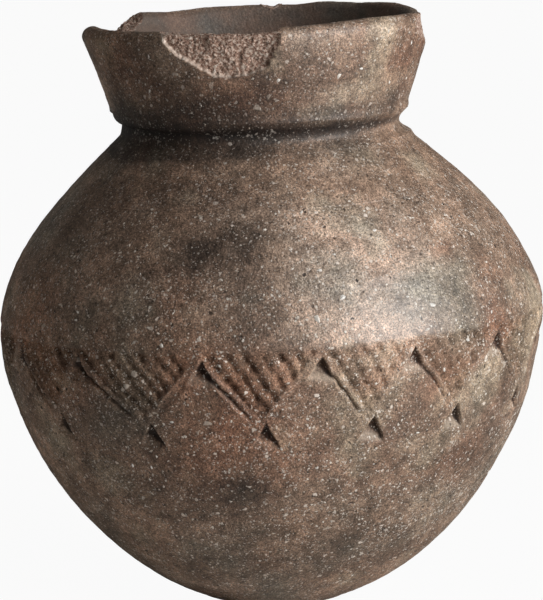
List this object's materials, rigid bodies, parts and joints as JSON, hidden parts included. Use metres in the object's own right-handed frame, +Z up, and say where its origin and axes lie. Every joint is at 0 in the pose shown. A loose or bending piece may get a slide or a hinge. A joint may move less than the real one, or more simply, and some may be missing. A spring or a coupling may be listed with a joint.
{
  "type": "small globular jar",
  "caption": "Small coil-built globular jar of coarse brown clay, with a flared collar, a chipped rim and a cut and comb-stamped zigzag round the belly.",
  "frame": {"origin": "centre of the flat foot that the jar stands on", "axes": "+Z up out of the mouth, -Y towards the front with the large rim flake, +X to the front's right; the collar leans 4 mm towards -X"},
  "size_m": [0.1295, 0.1294, 0.1404],
  "materials": {
    "wall_clay": "matt, unglazed coarse clay with pale grit",
    "shoulder_clay": "smoothed and faintly burnished coarse clay with pale grit",
    "soot_clay": "matt, smoke-blackened coarse clay with pale grit",
    "collar_clay": "matt, wiped coarse clay with pale grit and rough old breaks"
  },
  "bodies": {
    "root": {"base_disc": "wall_clay", "lower_coil_1": "wall_clay", "lower_coil_2": "wall_clay", "lower_coil_3": "wall_clay", "belly_band": "wall_clay", "upper_coil_1": "shoulder_clay", "upper_coil_2": "shoulder_clay", "upper_coil_3": "soot_clay", "throat_coil": "soot_clay", "collar_strap": "collar_clay", "rim_coil": "collar_clay"}
  },
  "joints": []
}
